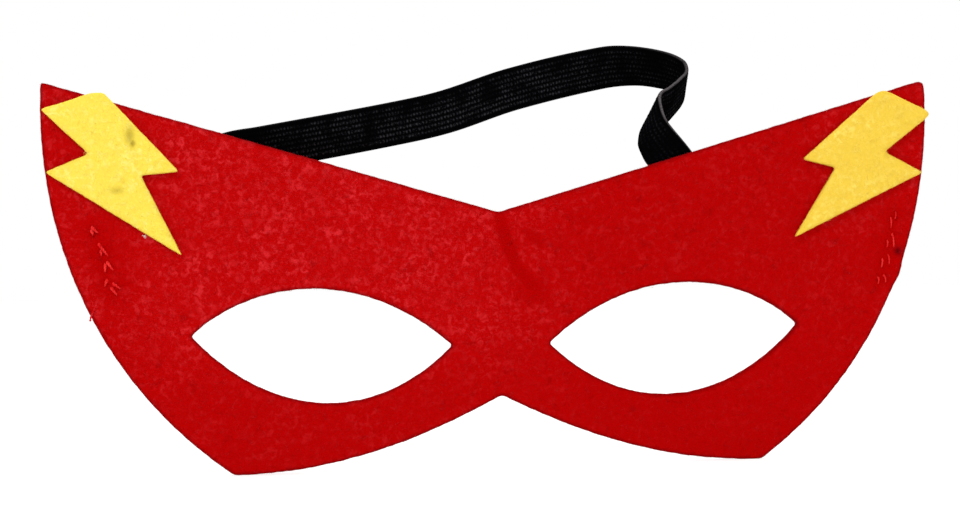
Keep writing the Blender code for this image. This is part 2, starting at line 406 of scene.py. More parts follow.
def felt_material(name, base, light, dark, stain, rim_share, specks):
    """Needle-punched felt: mottled colour, pale fibre flecks, painted light and shade on face and
    cut edge.

    Attributes: the nap share, how much pale fleck shows, also darkens the face where low, as
    painted light and shade; rim, 1 on the cut edge, marks painted shade; stain is how much grime
    covers a place.
    """
    n = Nodes(name, base)
    coords = n.add("ShaderNodeTexCoord").outputs["Object"]
    clumps = n.ramp(n.noise(coords, 1.5, 4, 0.62, 0.5), 0.47, 0.68)
    patches = n.ramp(n.noise(coords, 9.0, 3, 0.5, 0.3), 0.36, 0.62)
    flecks = n.ramp(n.noise(coords, 0.75, 3, 0.7, 0.8), 0.52, 0.72)
    web = n.fibres(coords, 0.55, 0.09, 1.1)
    fine_web = n.fibres(coords, 0.28, 0.12, 0.7)
    threads = n.math("MAXIMUM", web, n.math("MULTIPLY", fine_web, 0.6))

    pale = n.math("MULTIPLY", clumps, n.math("ADD", n.math("MULTIPLY", patches, 0.6), 0.4))
    pale = n.math("MAXIMUM", pale, n.math("MULTIPLY", flecks, 0.55))
    pale = n.math("ADD", n.math("MULTIPLY", pale, 0.85), n.math("MULTIPLY", threads, 0.18))
    nap_and_painted_light = n.attribute("nap_and_painted_light")
    # where the nap share is low the felt is darkened, as painted light and shade
    painted_shade = n.math("MULTIPLY", n.math("SUBTRACT", 1.0, nap_and_painted_light), 0.13)
    colour = n.mix(n.math("MULTIPLY", pale, nap_and_painted_light), colour4(base), colour4(light))
    colour = n.mix(painted_shade, colour, colour4(dark))
    deep = n.ramp(n.noise(coords, 2.4, 3, 0.6, 0.4), 0.55, 0.78)
    colour = n.mix(n.math("MULTIPLY", deep, 0.30), colour, colour4(dark))
    grit = n.ramp(n.noise(coords, 0.45, 2, 0.5), 0.70, 0.78)
    colour = n.mix(n.math("MULTIPLY", grit, specks), colour, colour4(stain))
    # the cut edge and the face's outer ring are darkened: painted shade
    colour = n.mix(n.math("MULTIPLY", n.attribute("rim"), rim_share), colour, colour4(dark))
    colour = n.mix(n.attribute("stain"), colour, colour4(stain))

    height = n.math("ADD", n.math("MULTIPLY", threads, 0.40), n.math("MULTIPLY", clumps, 0.55))
    height = n.math("ADD", height, n.math("MULTIPLY", n.noise(coords, 0.3, 3, 0.7), 0.6))
    normal = n.bump(height, 0.15)
    return n.finish(Base_Color=colour, Roughness=1.0, Specular_IOR_Level=0.02, Normal=normal)


def elastic_material():
    """Ribbed elastic: black yarn, grey ticks along its ribs as painted glints, and paler selvages.
    """
    n = Nodes("black_elastic_weave", to_linear(5, 5, 6))
    coords = n.add("ShaderNodeTexCoord").outputs["UV"]
    speck = n.ramp(n.noise(coords, 0.6, 3, 0.7), 0.42, 0.60)
    patchy = n.ramp(n.noise(coords, 6.0, 2, 0.5), 0.30, 0.62)
    # the grey ticks on the rib crests are painted glints, patchy and varied along the band
    ticks = n.math("MULTIPLY", n.attribute("rib"), n.attribute("tick"))
    glinting = n.math("MULTIPLY", patchy, n.attribute("glint_strength"))
    shine = n.math("MULTIPLY", ticks, n.math("MULTIPLY", speck, glinting))
    colour = n.mix(shine, colour4(to_linear(3, 3, 4)), colour4(to_linear(72, 72, 76)))
    # the pale selvage: fuzz, and painted highlight where the band's edge catches the light
    tufts = n.ramp(n.noise(coords, 0.35, 2, 0.6), 0.2, 0.6)
    fuzz_and_highlight = n.math("MULTIPLY", n.attribute("selvage"), tufts)
    fuzz_and_highlight = n.math("MULTIPLY", fuzz_and_highlight, n.attribute("fray_and_highlight"))
    colour = n.mix(fuzz_and_highlight, colour, colour4(to_linear(98, 93, 95)))
    normal = n.bump(n.noise(coords, 0.16, 2, 0.6), 0.05)
    return n.finish(Base_Color=colour, Roughness=0.9, Specular_IOR_Level=0.002, Normal=normal)


def fibre_material(name, colour, tint):
    n = Nodes(name, colour)
    coords = n.add("ShaderNodeTexCoord").outputs["Object"]
    varied = n.ramp(n.noise(coords, 1.2, 2, 0.6), 0.3, 0.7)
    mixed = n.mix(varied, colour4(colour), colour4(tint))
    return n.finish(Base_Color=mixed, Roughness=0.9, Specular_IOR_Level=0.05)


def glue_material():
    n = Nodes("hot_glue_film", to_linear(222, 214, 190))
    coords = n.add("ShaderNodeTexCoord").outputs["Object"]
    cloudy = n.ramp(n.noise(coords, 2.5, 3, 0.6), 0.3, 0.7)
    colour = n.mix(cloudy, colour4(to_linear(224, 216, 190)), colour4(to_linear(206, 190, 150)))
    normal = n.bump(n.noise(coords, 1.0, 2, 0.5), 0.08)
    return n.finish(Base_Color=colour, Roughness=0.32, Normal=normal)


# ---------------------------------------------------------------- shape helpers


def mesh_object(name, verts, faces, mat):
    """A smooth-shaded mesh object; verts in millimetres."""
    mesh = bpy.data.meshes.new(name)
    mesh.from_pydata((np.asarray(verts) * MM).tolist(), [], faces)
    mesh.materials.append(mat)
    mesh.shade_smooth()
    obj = bpy.data.objects.new(name, mesh)
    bpy.context.scene.collection.objects.link(obj)
    return obj


def point_attribute(obj, name, values):
    layer = obj.data.attributes.new(name, "FLOAT", "POINT")
    layer.data.foreach_set("value", np.asarray(values, np.float32))


def roughen(obj, size, strength):
    """Raise and sink the surface in lumps about size across, by up to strength, in millimetres."""
    texture = bpy.data.textures.new(f"{obj.name}_lumps_{size}", "CLOUDS")
    texture.noise_scale = size * MM
    texture.noise_depth = 2
    lumps = obj.modifiers.new(f"lumps_{size}", "DISPLACE")
    lumps.texture = texture
    lumps.texture_coords = "LOCAL"
    lumps.strength = strength * MM
    lumps.mid_level = 0.5


def mirrored(point):
    return (-point[0], point[1])


def corner(point):
    return (point, point, point)


def length_along(points):
    """The length of the line so far, at each of its points."""
    steps = np.linalg.norm(np.diff(points, axis=0), axis=1)
    return np.concatenate([[0], np.cumsum(steps)])


def resampled(at, along, points):
    """The line's columns at the lengths in at, where along gives the length at each point."""
    return np.stack([np.interp(at, along, column) for column in points.T], axis=1)


def bezier_points(knots, spacing):
    """Even points on a closed outline; each knot is (handle before, point, handle after)."""
    runs = []
    for (_, start, out), (back, end, _) in zip(knots, knots[1:] + knots[:1]):
        a, b, c, d = (np.array(p, float) for p in (start, out, back, end))
        t = np.linspace(0, 1, 200)[:, None]
        curve = a * (1 - t) ** 3 + 3 * b * t * (1 - t) ** 2 + 3 * c * t**2 * (1 - t) + d * t**3
        along = length_along(curve)
        at = np.linspace(0, along[-1], max(2, round(along[-1] / spacing)), endpoint=False)
        runs.append(resampled(at, along, curve))
    return np.concatenate(runs)


def softened(loop, passes):
    """A closed outline with its corners eased, as felt comes off a cutting die."""
    for _ in range(passes):
        loop = 0.5 * loop + 0.25 * (np.roll(loop, 1, axis=0) + np.roll(loop, -1, axis=0))
    return loop


def signed_area(loop):
    after = np.roll(loop, -1, axis=0)
    return float((loop[:, 0] * after[:, 1] - after[:, 0] * loop[:, 1]).sum() / 2)


def outward(loop):
    """Unit directions out of the felt at each point of a loop that keeps the felt on its left."""
    along = np.roll(loop, -1, axis=0) - np.roll(loop, 1, axis=0)
    along /= np.linalg.norm(along, axis=1)[:, None]
    return np.stack([along[:, 1], -along[:, 0]], axis=1)


def inside(points, loop):
    """Which points lie inside a closed outline, by counting crossings."""
    result = np.zeros(len(points), bool)
    for (x0, z0), (x1, z1) in zip(loop, np.roll(loop, -1, axis=0)):
        if z0 != z1:
            crosses = (points[:, 1] < z0) != (points[:, 1] < z1)
            at = x0 + (points[:, 1] - z0) * (x1 - x0) / (z1 - z0)
            result ^= crosses & (points[:, 0] < at)
    return result


def on_felt(points, loops):
    """Which points lie inside the outer outline and outside the holes that follow it."""
    keep = inside(points, loops[0])
    for hole in loops[1:]:
        keep &= ~inside(points, hole)
    return keep


def felt_on_left(loops):
    """The loops turned so that the felt is on their left: the outer one, then its holes."""
    return [
        loop if (signed_area(loop) > 0) == (i == 0) else loop[::-1] for i, loop in enumerate(loops)
    ]


def near_line(points, line):
    """Distance from each point to a line of straight pieces, and how far along it, 0 to 1."""
    best = np.full(len(points), 1e9)
    share = np.zeros(len(points))
    line = np.array(line, float)
    for i, (a, b) in enumerate(zip(line, line[1:])):
        d = b - a
        t = np.clip(((points - a) @ d) / (d @ d), 0, 1)
        away = np.linalg.norm(points - a - t[:, None] * d, axis=1)
        closer = away < best
        best[closer] = away[closer]
        share[closer] = (i + t[closer]) / (len(line) - 1)
    return best, share


def near_points(points, places):
    """Distance from each point to the nearest of the places."""
    best = np.full(len(points), 1e9)
    for place in places:
        best = np.minimum(best, np.linalg.norm(points - np.array(place), axis=1))
    return best


def bell(away, width):
    """1 at no distance, and fading out over about width."""
    return np.exp(-((away / width) ** 2))


def settle(points):
    """How far the felt bows out of flat, towards +Y, at (x, z)."""
    x, z = points[:, 0], points[:, 1]
    broad = 0.30 * np.sin(x / 29 + 0.6) * np.cos(z / 36)
    gentle = 0.20 * np.sin(x / 15 + z / 21 + 1.0)
    return broad + gentle


# ---------------------------------------------------------------- felt

# how far in from the outline the cut edge is rounded, and how much of the cut edge's painted
# shade the felt's face takes where the two meet
EDGE_ROUND = 0.32
EDGE_SHADE = 0.75
# rows of the cut edge: how far through the felt, and how far in as a share of EDGE_ROUND
CUT_ROWS = ((0.05, 0.60), (0.16, 0.20), (0.36, 0.0), (0.64, 0.0), (0.84, 0.20), (0.95, 0.60))


def inset_depths(loop):
    """How far each point may move in before the moved outline starts to fold over itself."""
    out = outward(loop)
    step = np.roll(loop, -1, axis=0) - loop
    depths = np.full(len(loop), EDGE_ROUND)
    for _ in range(60):
        inner = loop - out * depths[:, None]
        moved = np.roll(inner, -1, axis=0) - inner
        tight = (moved * step).sum(1) < 0.4 * (step * step).sum(1)
        if not tight.any():
            break
        depths[tight | np.roll(tight, 1)] *= 0.85
        depths = np.minimum(depths, np.minimum(np.roll(depths, 1), np.roll(depths, -1)) + 0.05)
    return depths[:, None]


def scattered(loops, spacing, rng):
    """Points on a jittered triangular grid, inside the felt and clear of its cut edges."""
    low, high = loops[0].min(0), loops[0].max(0)
    rows = np.arange(low[1], high[1], spacing * math.sqrt(3) / 2)
    columns = np.arange(low[0], high[0], spacing)
    x, z = np.meshgrid(columns, rows)
    x = x + spacing / 2 * (np.arange(len(rows)) % 2)[:, None]
    points = np.stack([x.ravel(), z.ravel()], axis=1)
    points += rng.uniform(-0.18, 0.18, points.shape) * spacing
    points = points[on_felt(points, loops)]
    edge = np.concatenate(loops)
    tree = KDTree(len(edge))
    for i, (a, b) in enumerate(edge):
        tree.insert((a, b, 0), i)
    tree.balance()
    clear = [tree.find((a, b, 0))[2] > EDGE_ROUND + 0.45 * spacing for a, b in points]
    return points[np.array(clear)]


def felt_sheet(name, outlines, front, back, spacing, mat, seed):
    """A closed sheet of felt with eased cut edges. The first outline is the outer one.

    front and back take (x, z) points and give y. Returns the object, its vertices in mm and how
    much each one belongs to the cut edge.
    """
    rng = np.random.default_rng(seed)
    loops = felt_on_left(outlines)
    insets = [loop - outward(loop) * inset_depths(loop) for loop in loops]
    flat = np.concatenate([*insets, scattered(loops, spacing, rng)])
    starts = np.cumsum([0] + [len(loop) for loop in loops])
    edges = []
    for start, loop in zip(starts, loops):
        edges += [(start + i, start + (i + 1) % len(loop)) for i in range(len(loop))]
    made = delaunay_2d_cdt([Vector(p) for p in flat.tolist()], edges, [], 1, 1e-5)
    points = np.array([tuple(p) for p in made[0]], float)
    triangles = np.array(made[2])
    middle = points[triangles].mean(1)
    for hole in insets[1:]:
        triangles = triangles[~inside(middle, hole)]
        middle = points[triangles].mean(1)
    a, b, c = (points[triangles[:, k]] for k in range(3))
    ab, ac = b - a, c - a
    turned = ab[:, 0] * ac[:, 1] < ab[:, 1] * ac[:, 0]
    triangles[turned] = triangles[turned][:, ::-1]
    place = {old: new for new, olds in enumerate(made[3]) for old in olds}

    count = len(points)
    front_y, back_y = front(points), back(points)
    verts = [np.insert(points, 1, y, axis=1) for y in (front_y, back_y)]
    faces = triangles.tolist() + (triangles[:, ::-1] + count).tolist()
    total = 2 * count
    for start, loop in zip(starts, loops):
        size = len(loop)
        ring = np.array([place[start + i] for i in range(size)])
        rows = [ring]
        y0, y1 = front_y[ring], back_y[ring]
        out = outward(loop)
        depths = inset_depths(loop)
        for depth, tuck in CUT_ROWS:
            wobble = rng.normal(0, 0.035, size)
            wobble = 0.5 * wobble + 0.25 * (np.roll(wobble, 1) + np.roll(wobble, -1))
            where = loop - out * (depths * tuck + wobble[:, None] * depths / EDGE_ROUND)
            verts.append(np.insert(where, 1, y0 + (y1 - y0) * depth, axis=1))
            rows.append(np.arange(total, total + size))
            total += size
        rows.append(ring + count)
        for upper, lower in zip(rows, rows[1:]):
            quads = np.stack([upper, lower, np.roll(lower, -1), np.roll(upper, -1)], 1)
            faces += quads.tolist()
    verts = np.concatenate(verts)
    obj = mesh_object(name, verts, faces, mat)
    # rim: 1 on the cut edge, EDGE_SHADE on the face's outer ring; the materials paint shade there
    rim = np.zeros(len(verts))
    rim[2 * count :] = 1
    for start, loop in zip(starts, loops):
        ring = [place[start + i] for i in range(len(loop))]
        rim[ring] = EDGE_SHADE
    return obj, verts, rim


def panel_outlines(spacing):
    right = [
        (TOP_CORNER, TOP_CORNER, SIDE_HANDLES[0]),
        (SIDE_HANDLES[1], BOTTOM_CORNER, HEM_HANDLES[0]),
    ]
    left = [(mirrored(c), mirrored(b), mirrored(a)) for a, b, c in reversed(right)]
    nose = (HEM_HANDLES[1], NOSE_NOTCH, mirrored(HEM_HANDLES[1]))
    outer = bezier_points([corner(TOP_NOTCH), *right, nose, *left], spacing)
    eye = [
        (EYE_LOW_HANDLES[1], EYE_INNER, EYE_TOP_HANDLES[0]),
        (EYE_TOP_HANDLES[1], EYE_OUTER, EYE_LOW_HANDLES[0]),
    ]
    hole = bezier_points(eye, spacing)
    sharp, blunt = softened(outer, 2), softened(outer, 14)
    near = bell(near_points(outer, [TOP_CORNER]), CORNER_REACH)[:, None]
    outer = sharp * (1 - near) + blunt * near
    bulge = bell(near_points(outer, [CUT_BULGE]), CUT_BULGE_WIDE)[:, None]
    outer = outer + outward(outer) * np.sign(signed_area(outer)) * bulge * CUT_BULGE_OUT
    return [outer, softened(hole, 2), softened(hole * (-1, 1), 2)]


def float_ends():
    return [end for side in FLOATS.values() for pair in side for end in pair]


def seam_away(points, side_name):
    """Distance from each point to the middle line of a seam."""
    middles = (tuple(np.mean(pair, axis=0)) for pair in FLOATS[side_name])
    return near_line(points, sorted(middles, key=lambda place: place[1]))[0]


def crease_depth(points):
    """0 to 1: how deep the felt's soft creases are at (x, z)."""
    amount = np.zeros(len(points))
    for line, width, depth in zip(CREASES, CREASE_WIDTHS, CREASE_DEPTHS):
        away, share = near_line(points, line)
        fade = np.clip(share * 8, 0.8, 1) * np.clip((1 - share) * 3, 0, 1)
        amount = np.maximum(amount, depth * fade * np.exp(-((away / width) ** 4)))
    return amount


def eased(t):
    """0 below 0, 1 above 1, smooth in between."""
    t = np.clip(t, 0, 1)
    return t * t * (3 - 2 * t)


def panel_nap_and_painted_light(points):
    """Pale nap share, painted light: most at the upper left, least in creases and seams, as painted
    shade.
    """
    x, z = points[:, 0], points[:, 1]
    # painted light: paler to the left, falling off towards the right
    rightward = eased((x + 16) / 46)
    nap_and_painted_light = 1.1 - 0.76 * rightward
    # darker towards the bottom and at the far left end, paler at the upper right
    nap_and_painted_light = nap_and_painted_light * (1 - eased((2 - z) / 24) * (0.66 - 0.16 * rightward))
    nap_and_painted_light = nap_and_painted_light * (1 - 0.35 * eased((-72 - x) / 12))
    nap_and_painted_light = nap_and_painted_light + 0.30 * eased((x - 65) / 15) * eased((z - 8) / 18)
    # painted shade in the creases and along the seams' furrows
    nap_and_painted_light = nap_and_painted_light - (nap_and_painted_light + 0.25) * crease_depth(points)
    for side_name in FLOATS:
        nap_and_painted_light = nap_and_painted_light * (1 - 0.85 * bell(seam_away(points, side_name), 2 * FURROW_WIDE))
    return nap_and_painted_light


def dimples(points):
    return bell(near_points(points, float_ends()), DIMPLE_WIDE)


def panel_front(points):
    seam = sum(FURROW_DEEP * bell(seam_away(points, name), FURROW_WIDE) for name in FLOATS)
    sunk = CREASE_DEEP * crease_depth(points) + seam + DIMPLE_FRONT * dimples(points)
    return -FELT_THICK + settle(points) + sunk


def panel_back(points):
    return settle(points) - DIMPLE_BACK * dimples(points)


def build_panel(mat):
    outlines = panel_outlines(0.5)
    obj, verts, rim = felt_sheet("felt_panel", outlines, panel_front, panel_back, 0.62, mat, 11)
    flat = verts[:, [0, 2]]
    point_attribute(obj, "rim", rim)
    # the front's nap share carries painted light and shade; elsewhere it is even
    point_attribute(obj, "nap_and_painted_light", np.where(verts[:, 1] < -0.9, panel_nap_and_painted_light(flat), 0.8))
    spot = bell(near_points(flat, [DARK_SPOT]), DARK_SPOT_RADIUS)
    point_attribute(obj, "stain", DARK_SPOT_STRENGTH * spot * (verts[:, 1] < -0.5))
    roughen(obj, 2.6, 0.16)
    roughen(obj, 0.9, 0.10)
    area = sum(abs(signed_area(loop)) * (1 if i == 0 else -1) for i, loop in enumerate(outlines))
    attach(obj, "mask")
    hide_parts("mask_panel")
    return outlines


def bolt_front(points):
    return BOLT_FRONT + settle(points)


def bolt_back(points):
    return BOLT_BACK + settle(points)


def build_bolt(side_name, mat, seed):
    outer = softened(bezier_points([corner(point) for point in BOLT_OUTLINES[side_name]], 0.4), 5)

    def lift(points):
        """The two outer tips stand a little off the panel."""
        return TIP_LIFT * bell(near_points(points, BOLT_TIPS[side_name]), TIP_REACH)

    def front(points):
        crown = CROWN_DROP * bell(near_points(points, outer[::2]), CROWN_REACH)
        return bolt_front(points) - lift(points) + crown

    def back(points):
        return bolt_back(points) - lift(points)

    obj, verts, rim = felt_sheet(f"felt_bolt_{side_name}", [outer], front, back, 0.5, mat, seed)
    flat = verts[:, [0, 2]]
    smudge = np.zeros(len(verts))
    for place, size, depth in SMUDGES:
        away = np.linalg.norm((flat - place) / np.array(size), axis=1)
        smudge = np.maximum(smudge, depth * bell(away, 1.0))
    point_attribute(obj, "rim", rim)
    point_attribute(obj, "nap_and_painted_light", np.ones(len(verts)))
    point_attribute(obj, "stain", smudge * (verts[:, 1] < (BOLT_FRONT + BOLT_BACK) / 2))
    roughen(obj, 2.2, 0.14)
    roughen(obj, 0.8, 0.09)
    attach(obj, "mask")
    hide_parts(f"bolt_{side_name}")
    area = abs(signed_area(outer)) * MM**2
    return outer


def build_glue(side_name, mat, seed):
    """A flattened, uneven film of glue between a bolt and the panel."""
    rng = np.random.default_rng(seed)
    hub = np.array(BOLT_HUBS[side_name])
    bolt = np.array(BOLT_OUTLINES[side_name])
    outline = bezier_points([corner(tuple(p)) for p in hub + GLUE_SHARE * (bolt - hub)], 0.6)
    outline = softened(outline, 8)
    wander = np.cumsum(rng.normal(0, 0.12, len(outline)))
    wander -= np.linspace(0, wander[-1], len(wander))
    outline = outline + outward(outline) * wander[:, None] * 0.5

    def front(points):
        return settle(points) + GLUE_FRONT

    def back(points):
        return settle(points) + GLUE_BACK

    obj, _, _ = felt_sheet(f"glue_bead_{side_name}", [outline], front, back, 1.0, mat, seed)
    roughen(obj, 1.5, 0.08)
    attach(obj, "mask")
    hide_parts(f"bolt_glue_{side_name}")


# ---------------------------------------------------------------- elastic band


def hermite(rows, knots, i, t):
    """Cubic through rows[i] and rows[i + 1], with slopes taken from their neighbours."""

    def slope(j):
        lo, hi = max(j - 1, 0), min(j + 1, len(rows) - 1)
        return (rows[hi] - rows[lo]) / (knots[hi] - knots[lo])

    span = knots[i + 1] - knots[i]
    start = rows[i] * (2 * t**3 - 3 * t**2 + 1) + slope(i) * span * (t**3 - 2 * t**2 + t)
    end = rows[i + 1] * (3 * t**2 - 2 * t**3) + slope(i + 1) * span * (t**3 - t**2)
    return start + end


def band_rows(step):
    """Evenly spaced stations along the band: its lower and upper edge, and the length so far."""
    centres = np.array([row[:3] for row in BAND_ROUTE], float)
    lean = np.radians([row[3:] for row in BAND_ROUTE])
    ups = np.stack(
        [
            np.sin(lean[:, 0]) * np.cos(lean[:, 1]),
            np.sin(lean[:, 1]),
            np.cos(lean[:, 0]) * np.cos(lean[:, 1]),
        ],
        axis=1,
    )
    knots = length_along(centres)
    lows, highs = [], []
    for i in range(len(centres) - 1):
        for t in np.linspace(0, 1, 40, endpoint=i == len(centres) - 2):
            centre = hermite(centres, knots, i, t)
            up = hermite(ups, knots, i, t)
            half = up / np.linalg.norm(up) * BAND_WIDE / 2
            lows.append(centre - half)
            highs.append(centre + half)
    lows, highs = np.array(lows), np.array(highs)
    lows[:, 1] = np.maximum(lows[:, 1], BAND_REST_Y)
    highs[:, 1] = np.maximum(highs[:, 1], BAND_REST_Y)
    middle = (lows + highs) / 2
    along = length_along(middle)
    at = np.linspace(0, along[-1], round(along[-1] / step) + 1)
    return resampled(at, along, lows), resampled(at, along, highs), at


def seam_pull(points):
    """How far the stitches draw the band in towards the felt."""
    pull = np.zeros(len(points))
    for side_name in FLOATS:
        pull = np.maximum(pull, bell(seam_away(points, side_name), SEAM_PULL_WIDE))
    return pull


def build_band(mat):
    """The whole elastic in one piece, with its ribs, ticks and soft selvages."""
    lows, highs, at = band_rows(0.2)
    middle = (lows + highs) / 2
    tangent = np.gradient(middle, axis=0)
    tangent /= np.linalg.norm(tangent, axis=1)[:, None]
    up = highs - lows
    up /= np.linalg.norm(up, axis=1)[:, None]
    normal = np.cross(tangent, up)
    normal /= np.linalg.norm(normal, axis=1)[:, None]

    half = BAND_WIDE / 2
    across = np.linspace(-half, half, BAND_COLUMNS + 2)[1:-1]
    ribbed = np.abs(across) < RIBS * RIB_PITCH / 2
    phase = across / RIB_PITCH
    crest = np.where(ribbed, np.abs(np.cos(math.pi * phase)), 0.55)
    rib_number = np.round(phase)
    edge_away = half - np.abs(across)
    inward = np.clip(edge_away / BAND_ROUNDED, 0, 1)
    roundness = np.sqrt(np.clip(1 - (1 - inward) ** 2, 0, 1))

    stagger = 0.5 * (rib_number[None, :] % 2)
    tick = 0.5 + 0.5 * np.cos(2 * math.pi * (at[:, None] / TICK_PITCH + stagger))
    height = BAND_THICK / 2 - RIB_DIP * (1 - crest[None, :] ** 0.7)
    height = height + TICK_RISE * (tick - 0.5) * crest[None, :] * ribbed
    height = height * (0.55 + 0.45 * roundness[None, :])

    base = lows[:, None, :] + (across[None, :, None] / BAND_WIDE + 0.5) * (highs - lows)[:, None, :]
    inner = base + normal[:, None, :] * height[:, :, None]
    outer = base - normal[:, None, :] * height[:, :, None]
    low_edge = lows[:, None, :]
    high_edge = highs[:, None, :]
    ring = np.concatenate([low_edge, inner, high_edge, outer[:, ::-1]], axis=1)
    stations, size = ring.shape[:2]
    verts = ring.reshape(-1, 3)

    flat = verts[:, [0, 2]]
    near_panel = np.clip((5.0 - verts[:, 1]) / 3.0, 0, 1)
    verts[:, 1] += near_panel * (settle(flat) - 0.15 - SEAM_PULL_DEEP * seam_pull(flat))

    index = np.arange(stations * size).reshape(stations, size)
    quads = np.stack(
        [index[:-1], np.roll(index[:-1], -1, axis=1), np.roll(index[1:], -1, axis=1), index[1:]],
        axis=2,
    ).reshape(-1, 4)
    faces = quads[:, ::-1].tolist() + [index[0].tolist(), index[-1][::-1].tolist()]
    obj = mesh_object("elastic_band", verts, faces, mat)

    rib_row = np.concatenate([[0], crest * ribbed, [0], (crest * ribbed)[::-1]]) ** 3
    selvage = np.clip(1 - edge_away / SELVAGE_WIDE, 0, 1)
    selvage_row = np.concatenate([[1], selvage, [1], selvage[::-1]])
    blank = np.zeros((stations, 1))
    tick_ring = np.concatenate([blank, tick, blank, tick[:, ::-1]], axis=1)
    point_attribute(obj, "rib", np.tile(rib_row, stations))
    point_attribute(obj, "selvage", np.tile(selvage_row, stations))
    point_attribute(obj, "tick", tick_ring.ravel())
    point_attribute(obj, "glint_strength", np.repeat(np.interp(at, GLINT_AT, GLINT_STRENGTH), size))
    point_attribute(obj, "fray_and_highlight", np.repeat(np.interp(at, FRAY_AND_HIGHLIGHT_AT, FRAY_AND_HIGHLIGHT), size))

    around = np.arange(size) * (BAND_WIDE / BAND_COLUMNS) * MM
    uv = np.stack([np.tile(around, stations), np.repeat(at * MM, size)], axis=1)
    corners = np.zeros(len(obj.data.loops), np.int32)
    obj.data.loops.foreach_get("vertex_index", corners)
    layer = obj.data.uv_layers.new(name="yarn")
    layer.data.foreach_set("uv", uv[corners].astype(np.float32).ravel())

    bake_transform(obj)
    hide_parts("elastic_strap", "elastic_strap_end_left", "elastic_strap_end_right")


# ---------------------------------------------------------------- stitches


def smooth_line(points, step):
    """A Catmull-Rom line through rows of x, y, z and girth, in even steps, with its lengths."""
    points = np.array(points, float)
    padded = np.concatenate([points[:1], points, points[-1:]])
    t = np.linspace(0, 1, 14, endpoint=False)[:, None]
    runs = []
    for p0, p1, p2, p3 in zip(padded, padded[1:], padded[2:], padded[3:]):
        bend = (2 * p0 - 5 * p1 + 4 * p2 - p3) * t**2 + (3 * p1 - p0 - 3 * p2 + p3) * t**3
        runs.append(0.5 * (2 * p1 + (p2 - p0) * t + bend))
    line = np.concatenate([*runs, points[-1:]])
    along = length_along(line[:, :3])
    at = np.linspace(0, along[-1], max(2, round(along[-1] / step)))
    return resampled(at, along, line), at


def twisted_thread(name, route, mat):
    """Two plies wound round each other along the route, as one curve object."""
    line, at = smooth_line(route, 0.1)
    line, girth = line[:, :3], line[:, 3]
    tangent = np.gradient(line, axis=0)
    tangent /= np.linalg.norm(tangent, axis=1)[:, None]
    side = np.cross(tangent[0], (0.3, 1.0, 0.2))
    frames = []
    for direction in tangent:
        side = side - (side @ direction) * direction
        side = side / np.linalg.norm(side)
        frames.append((side, np.cross(direction, side)))
    curve = bpy.data.curves.new(name, "CURVE")
    curve.dimensions = "3D"
    curve.bevel_depth = PLY_RADIUS * MM
    curve.bevel_resolution = 2
    curve.use_fill_caps = True
    curve.materials.append(mat)
    for ply in (0, 1):
        turn = 2 * math.pi * at / PLY_PITCH + ply * math.pi
        waves = zip(np.cos(turn), np.sin(turn), frames)
        offset = np.array([c * u + s * v for c, s, (u, v) in waves])
        places = (line + offset * (PLY_RADIUS * 0.92 * girth)[:, None]) * MM
        spline = curve.splines.new("POLY")
        spline.points.add(len(places) - 1)
        spline.points.foreach_set("co", np.column_stack([places, np.ones(len(places))]).ravel())
        spline.points.foreach_set("radius", girth)
    obj = bpy.data.objects.new(name, curve)
    bpy.context.scene.collection.objects.link(obj)
    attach(obj, "mask")
    return obj


def lying(x, z, surface):
    """The y of the settled felt's surface at (x, z)."""
    return surface + float(settle(np.array([(x, z)]))[0])


def needle_route(side_name):
    """Along each float on the felt's face, fuller at its upper end, and down between floats."""
    route = []
    even, extra = FLOAT_GIRTH[side_name]
    for start, end in FLOATS[side_name]:
        a, b = np.array(start), np.array(end)
        fuller = np.sign(a[1] - b[1])
        for share, proud in ((0.0, -0.50), (0.20, 0.02), (0.5, 0.20), (0.80, 0.02), (1.0, -0.50)):
            x, z = a + (b - a) * share
            girth = even + extra * fuller * (1 - 2 * share)
            route.append((x, lying(x, z, 0.12 - FELT_THICK) - proud, z, girth))
    return route


def tail_route():
    """The loose thread end, lying on the felt down to its edge."""
    sinks = [0.5] + [-0.12] * (len(THREAD_TAIL) - 1)
    return [(x, lying(x, z, sink - FELT_THICK), z, 0.8) for (x, z), sink in zip(THREAD_TAIL, sinks)]


def bobbin_level(x, z, rows):
    """How far behind the panel's back a bobbin float lies: on the elastic or on the felt."""
    away = near_line(np.array([(x, z)]), [(row[0], row[2]) for row in rows])[0][0]
    on_band = float(eased((BAND_WIDE / 2 + 0.6 - away) / 0.9))
    return 0.12 + on_band * (BAND_REST_Y + BAND_THICK / 2 - 0.52)


def bobbin_route(side_name):
    """Floats on the back of the elastic and of the felt beside it, from hole to hole."""
    route = []
    ends = [end for pair in FLOATS[side_name] for end in pair]
    rows = BAND_ROUTE[:3] if side_name == "left" else BAND_ROUTE[-3:]
    for start, end in zip(ends[::2], ends[2::2]):
        a, b = np.array(start), np.array(end)
        for share, proud in ((0.0, -0.9), (0.12, -0.1), (0.5, 0.0), (0.88, -0.1)):
            x, z = a + (b - a) * share
            route.append((x, lying(x, z, bobbin_level(x, z, rows)) + proud, z, 1.0))
    return route


def build_stitches(mat, tail_mat):
    for side_name in FLOATS:
        front = twisted_thread(f"needle_stitches_{side_name}", needle_route(side_name), mat)
        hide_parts(f"needle_thread_{side_name}")
        back = twisted_thread(f"bobbin_stitches_{side_name}", bobbin_route(side_name), mat)
        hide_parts(f"bobbin_thread_{side_name}")
    twisted_thread("thread_tail_left", tail_route(), tail_mat)


# ---------------------------------------------------------------- loose fibres

# radius and rise of fibres that lie on a face, of ends that stand out of a cut edge, and of lint
FACE_FIBRE = (0.022, 0.14)
EDGE_FIBRE = (0.02, 0.06)
LINT_FIBRE = (0.06, 0.25)


